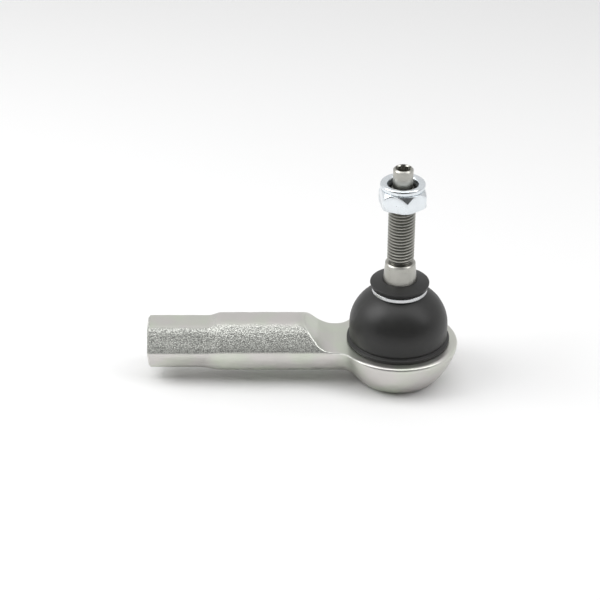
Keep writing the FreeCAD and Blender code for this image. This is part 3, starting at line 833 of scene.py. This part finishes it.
HEX_TOP = 6.7            # height of the nut's hexagon
CORNER_DROP = 2.3        # the top chamfer comes this far down at the corners
FLAT_DROP = 0.15         # and this far at the middle of a flat
MOUTH_R = 5.6            # opening of the rolled collar
CLEARANCE = 0.06         # between the two threads
BEARING_R = 8.5          # round bearing face; the corners rise outside it
CORNER_RISE = 0.5
FACE_R = 7.6             # flat part of that face
LEAD_R = 5.75            # countersink of the thread
THREAD_HEIGHT = 5.45     # the nut is tapped up to here
POCKET_R = 7.02          # room for the nylon ring above the thread
POCKET_TOP = 7.61


def nut_angles(turn):
    """Columns round the nut, close together at its corners; a corner stands first."""
    near = np.array([0.0, 0.55, 1.1, 1.6, 2.6])
    side = np.concatenate([near, np.linspace(5, 55, 21), (60 - near[:0:-1])])
    sides = [side + 60 * index for index in range(6)]
    return math.radians(-90) + turn + np.radians(np.concatenate(sides))


def nut_outline(angles, flat, round_r):
    """The hexagon's radius at each angle, with rounded corners."""
    from_corner = (angles - angles[0] + math.pi / 6) % (math.pi / 3) - math.pi / 6
    centre = (flat - round_r) / math.cos(math.pi / 6)
    reach = np.sqrt(np.maximum(round_r ** 2 - (centre * np.sin(from_corner)) ** 2, 0))
    corner = centre * np.cos(from_corner) + reach
    straight = flat / np.cos(math.pi / 6 - np.abs(from_corner))
    touch = math.atan2(round_r * 0.5, centre + round_r * math.cos(math.pi / 6))
    return np.where(np.abs(from_corner) < touch, corner, straight)


def make_nut(nut, stud, finish):
    """The lock nut: hexagon, chamfers, rolled collar and thread, and its nylon ring."""
    angles = nut_angles(nut.turn)
    flat = nut.across_flats / MM / 2
    outline = nut_outline(angles, flat, nut.corner_round / MM)
    slope = (CORNER_DROP - FLAT_DROP) / (flat / math.cos(math.pi / 6) - flat)
    shoulder = HEX_TOP - FLAT_DROP - (outline - flat) * slope
    foot = np.maximum(outline - BEARING_R, 0) * CORNER_RISE
    rows = [(LEAD_R, 0.0), (FACE_R, 0.0), (np.minimum(BEARING_R, outline - 0.15), 0.03),
            (outline - 0.06, foot + 0.04), (outline, foot + 0.12), (outline, shoulder - 0.1),
            (outline - 0.05, shoulder + 0.03)]
    for share in (0.25, 0.5, 0.75, 1.0):
        inward = outline - 0.05 + (flat - 0.02 - outline + 0.05) * share
        rows.append((inward, HEX_TOP - FLAT_DROP - (inward - flat) * slope))
    collar = rounded([(7.86, HEX_TOP, 0.08), (7.45, HEX_TOP, 0.06), (7.4, HEX_TOP + 0.18, 0.1),
                      (7.9, HEX_TOP + 0.3, 0.15), (8.3, 7.5, 0.9), (8.25, 8.9, 0.9),
                      (6.9, 9.3, 1.2), (5.7, 8.5, 0.6), (MOUTH_R, 7.9, 0.1),
                      (MOUTH_R, POCKET_TOP + 0.01)], 5)
    rows.extend([(7.93, HEX_TOP - 0.03), *collar, (POCKET_R, POCKET_TOP), (POCKET_R, THREAD_HEIGHT),
                 (5.35, THREAD_HEIGHT)])
    rows = [ring(r, NUT_LOW + h, angles) for r, h in rows]
    crest = stud.crest / MM
    depth = stud.depth / MM
    low, high = NUT_LOW, NUT_LOW + THREAD_HEIGHT

    def limit(height, radius):
        lead = np.interp(height, [low, low + 0.55, high - 0.3, high], [LEAD_R, 5.06, 5.06, 5.35])
        inside = (height > low + 0.3) & (height < high - 0.2)
        return np.where(inside, radius, np.maximum(radius, lead))

    thread = thread_rings(ring, low, high, stud.pitch / MM, crest - depth + CLEARANCE, depth, limit, angles)
    piece = skin("hexagon_lock_nut", [], thread, rows[::-1], join=True)
    dress(piece, "lock_nut", "nut_body", plated_zinc(tuple(finish.bright_zinc)))
    inner = crest + 0.05
    nylon = rounded([(inner, NYLON_LOW), (NYLON_R, NYLON_LOW, 0.1), (NYLON_R, NYLON_TOP, 0.1),
                     (inner + 0.5, NYLON_TOP, 0.3), (inner, NYLON_TOP - 0.5, 0.3), (inner, NYLON_LOW)])
    ring_piece = turned("nylon_ring", nylon[:-1], 96)
    dress(ring_piece, "nut_locking_insert", "nut_lift_body",
          moulded_plastic("nylon", tuple(finish.nylon), 0.45))


# --- dust boot --------------------------------------------------------------------

DOME_R = 18.6
DOME_LOW_Z = 8.5
DOME_TOP = (9.9, 22.2)
SEAL_LOW = (6.9, 21.0)   # the lip's bore follows the stud's taper
SEAL_TOP_R = 6.32
FLANGE_TOP_Z = 2.7
GRIP_R = 16.5            # the skirt's inner edge, round the base ring
WAIST_R = 9.55           # groove for the band
LIP_R = 11.1
FLASH_ANGLE = math.radians(20)  # where the mould's halves meet
FLASH_RISE = 0.05
FLASH_WIDTH = 0.012      # radians


def dome(inset, low_z, high_z, steps):
    """The boot's oval wall between two heights, inset inside its outer face."""
    wide = DOME_R - inset
    tall = (DOME_TOP[1] - DOME_LOW_Z) / math.sin(math.acos(DOME_TOP[0] / DOME_R)) - inset
    first = math.degrees(math.asin((low_z - DOME_LOW_Z) / tall))
    last = math.degrees(math.asin((high_z - DOME_LOW_Z) / tall))
    return arc((0, DOME_LOW_Z), (wide, tall), first, last, steps)


def moulded(name, outline, columns):
    """A turned rubber piece with the fine flash line that the two mould halves leave."""
    angles = even_angles(columns)
    away = np.abs((angles - FLASH_ANGLE + math.pi / 2) % math.pi - math.pi / 2)
    flash = FLASH_RISE * np.exp(-(away / FLASH_WIDTH) ** 2)
    rings = []
    for radius, height in outline:
        rings.append(ring(radius + flash * (radius > SEAL_LOW[0] + 1), height, angles))
    return skin(name, rings, join=True)


def make_boot(settings, finish):
    """The rubber boot in two pieces that meet at the seam height."""
    columns = settings.columns
    wall = settings.wall / MM
    seam = settings.seam / MM
    rubber = charcoal_rubber(tuple(finish.rubber))
    base = rounded([(GRIP_R, BOOT_LOW), (BOOT_R, BOOT_LOW, 0.5), (BOOT_R, FLANGE_TOP_Z, 0.5),
                    (18.3, 3.15, 0.3), (DOME_R, 4.2, 0.8), (DOME_R, DOME_LOW_Z)], 6)
    lower = [*base, *dome(0, DOME_LOW_Z, seam, 10)[1:], *dome(wall, seam, DOME_LOW_Z, 6),
             (DOME_R - wall, 7.2), (GRIP_R, 6.2)]
    skirt = moulded("boot_skirt", lower, columns)
    dress(skirt, "dust_boot", None, rubber)
    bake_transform(skirt)
    lip = rounded([DOME_TOP, (WAIST_R + 0.05, DOME_TOP[1] + 0.35, 0.3), (WAIST_R, BAND_TOP + 0.1, 0.1),
                   (BAND_R + 0.1, BAND_TOP + 0.1, 0.3), (LIP_R, 25.9, 0.3), (LIP_R, 26.4, 0.35),
                   (SEAL_TOP_R + 0.1, BOOT_TOP + 0.1, 0.15), (SEAL_TOP_R, BOOT_TOP - 0.3), SEAL_LOW,
                   dome(wall, seam, SEAL_LOW[1], 2)[-1]], 6)
    upper = [*dome(0, seam, DOME_TOP[1], 30)[:-1], *lip[:-1], *dome(wall, SEAL_LOW[1], seam, 20)]
    crown = moulded("boot_crown", upper, columns)
    dress(crown, "dust_boot", None, rubber)
    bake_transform(crown)


def make_band(finish):
    """The bright strip round the boot's waist."""
    inner = 9.6
    outline = rounded([(inner, BAND_LOW + 0.1), (inner + 0.1, BAND_LOW, 0.08), (BAND_R, BAND_LOW, 0.2),
                       (BAND_R, BAND_TOP, 0.2), (inner + 0.1, BAND_TOP, 0.08), (inner, BAND_TOP - 0.1)])
    piece = turned("boot_band", outline, 144)
    dress(piece, "boot_upper_ring", "boot_ring_body",
          lathe_steel("band_steel", tuple(finish.band), 0.28, 0.25))


# --- stage ------------------------------------------------------------------------

# In metres
FLOOR_REACH = 3.0        # from the origin to each side of the floor
FLOOR_TONE = 0.93
CAMERA_RISE = 30.53      # degrees above level
CAMERA_REACH = 0.658     # from what it aims at
CAMERA_AIM = Vector((-0.0373, 0, 0.01816))  # from the ball centre
CAMERA_LENS = 104.88     # millimetres
# Softboxes: turn from the front and rise in degrees, reach, width, height and radiance
SOFTBOXES = {
    "overhead": (0, 79, 0.8, 1.4, 0.46, 1.9),
    "left_side": (-88, 40, 0.8, 0.45, 0.5, 3.4),
    "right_front": (72, 38, 0.8, 0.25, 0.45, 2.6),
}
ROOM_FRONT = 0.08        # brightness of the room on the camera's side
ROOM_BACK = 0.75         # and behind the object
ROOM_TURN = (-0.45, 0.3)  # it changes between these distances back along a unit direction


def compass(turn, rise):
    """The direction that stands turn degrees round from the front, to the right, and rise up."""
    turn, rise = math.radians(turn), math.radians(rise)
    return Vector((math.sin(turn) * math.cos(rise), -math.cos(turn) * math.cos(rise), math.sin(rise)))


def make_softbox(name, turn, rise, reach, width, height, radiance):
    """A soft rectangular light that faces the ball."""
    light = bpy.data.lights.new(name, "AREA")
    light.shape = "RECTANGLE"
    light.size = width
    light.size_y = height
    light.energy = radiance * math.pi * width * height
    lamp = bpy.data.objects.new(name, light)
    towards = compass(turn, rise)
    lamp.location = BALL + towards * reach
    lamp.rotation_euler = towards.to_track_quat("Z", "Y").to_euler()
    bpy.context.scene.collection.objects.link(lamp)


def make_room():
    """A pale room behind the object that goes dark towards the camera's side."""
    world = bpy.data.worlds.new("studio")
    bpy.context.scene.world = world
    world.use_nodes = True
    tree = world.node_tree
    way = tree.nodes.new("ShaderNodeTexCoord").outputs["Generated"]
    parts = tree.nodes.new("ShaderNodeSeparateXYZ")
    tree.links.new(way, parts.inputs[0])
    depth = tree.nodes.new("ShaderNodeMapRange")
    depth.interpolation_type = "SMOOTHSTEP"
    tree.links.new(parts.outputs[1], depth.inputs[0])
    for socket, value in zip(depth.inputs[1:5], (*ROOM_TURN, ROOM_FRONT, ROOM_BACK)):
        socket.default_value = value
    tree.links.new(depth.outputs[0], tree.nodes["Background"].inputs["Strength"])
    tree.nodes["Background"].inputs["Color"].default_value = (1, 1, 1, 1)


def make_stage():
    """A pale floor, soft light and the camera."""
    material = bpy.data.materials.new("pale_floor")
    material.use_nodes = True
    shader = material.node_tree.nodes["Principled BSDF"]
    shader.inputs["Base Color"].default_value = (FLOOR_TONE, FLOOR_TONE, FLOOR_TONE, 1)
    shader.inputs["Roughness"].default_value = 0.9
    shader.inputs["Specular IOR Level"].default_value = 0.0
    mesh = bpy.data.meshes.new("floor")
    signs = [(-1, -1), (1, -1), (1, 1), (-1, 1)]
    corners = [(x * FLOOR_REACH, y * FLOOR_REACH, CAD_LOW.z) for x, y in signs]
    mesh.from_pydata(corners, [], [(0, 1, 2, 3)])
    mesh.materials.append(material)
    floor = bpy.data.objects.new("floor", mesh)
    bpy.context.scene.collection.objects.link(floor)
    make_room()
    for name, softbox in SOFTBOXES.items():
        make_softbox(name, *softbox)
    camera = bpy.data.cameras.new("camera")
    camera.lens = CAMERA_LENS
    view = bpy.data.objects.new("camera", camera)
    bpy.context.scene.collection.objects.link(view)
    back = compass(0, CAMERA_RISE)
    view.location = BALL + CAMERA_AIM + back * CAMERA_REACH
    view.rotation_euler = (-back).to_track_quat("-Z", "Y").to_euler()
    bpy.context.scene.camera = view
    bpy.context.scene.view_settings.view_transform = "Standard"


# --- add-on -----------------------------------------------------------------------

class TIEROD_OT_forging(bpy.types.Operator):
    """Make the forged housing"""
    bl_idname = "tierod.forging"
    bl_label = "Forged housing"

    def execute(self, context):
        make_forging(context.scene.tierod_forging, context.scene.tierod_finish)
        return {"FINISHED"}


class TIEROD_OT_cover(bpy.types.Operator):
    """Make the bottom cover and finish the parts inside the socket"""
    bl_idname = "tierod.cover"
    bl_label = "Bottom cover and inner parts"

    def execute(self, context):
        make_cover(context.scene.tierod_finish)
        finish_inner_parts(context.scene.tierod_finish)
        return {"FINISHED"}


class TIEROD_OT_stud(bpy.types.Operator):
    """Make the threaded ball stud"""
    bl_idname = "tierod.stud"
    bl_label = "Ball stud"

    def execute(self, context):
        make_stud(context.scene.tierod_stud, context.scene.tierod_finish)
        return {"FINISHED"}


class TIEROD_OT_nut(bpy.types.Operator):
    """Make the lock nut and its nylon ring"""
    bl_idname = "tierod.nut"
    bl_label = "Lock nut"

    def execute(self, context):
        scene = context.scene
        make_nut(scene.tierod_nut, scene.tierod_stud, scene.tierod_finish)
        return {"FINISHED"}


class TIEROD_OT_boot(bpy.types.Operator):
    """Make the rubber boot and its band"""
    bl_idname = "tierod.boot"
    bl_label = "Dust boot"

    def execute(self, context):
        make_boot(context.scene.tierod_boot, context.scene.tierod_finish)
        make_band(context.scene.tierod_finish)
        return {"FINISHED"}


class TIEROD_OT_stage(bpy.types.Operator):
    """Make the floor, the light and the camera"""
    bl_idname = "tierod.stage"
    bl_label = "Stage"

    def execute(self, context):
        make_stage()
        return {"FINISHED"}


OPERATORS = (TIEROD_OT_forging, TIEROD_OT_cover, TIEROD_OT_stud, TIEROD_OT_nut, TIEROD_OT_boot,
             TIEROD_OT_stage)
SETTINGS = {"tierod_forging": ForgingSettings, "tierod_stud": StudSettings, "tierod_nut": NutSettings,
            "tierod_boot": BootSettings, "tierod_finish": FinishSettings}


class TIEROD_PT_panel(bpy.types.Panel):
    """The tie rod end's pieces and their sizes"""
    bl_idname = "TIEROD_PT_panel"
    bl_label = "Tie rod end"
    bl_space_type = "VIEW_3D"
    bl_region_type = "UI"
    bl_category = "Tie rod end"

    def draw(self, context):
        for operator in OPERATORS:
            self.layout.operator(operator.bl_idname)
        for name, group in SETTINGS.items():
            box = self.layout.box()
            for key in group.__annotations__:
                box.prop(getattr(context.scene, name), key)


def register():
    for item in (*SETTINGS.values(), *OPERATORS, TIEROD_PT_panel):
        bpy.utils.register_class(item)
    for name, group in SETTINGS.items():
        setattr(bpy.types.Scene, name, PointerProperty(type=group))


def unregister():
    for name in SETTINGS:
        delattr(bpy.types.Scene, name)
    for item in (TIEROD_PT_panel, *reversed(OPERATORS), *SETTINGS.values()):
        bpy.utils.unregister_class(item)


def main():
    register()
    bpy.ops.tierod.forging()
    bpy.ops.tierod.cover()
    bpy.ops.tierod.stud()
    bpy.ops.tierod.nut()
    bpy.ops.tierod.boot()
    bpy.ops.tierod.stage()


if __name__ == "__main__":
    main()
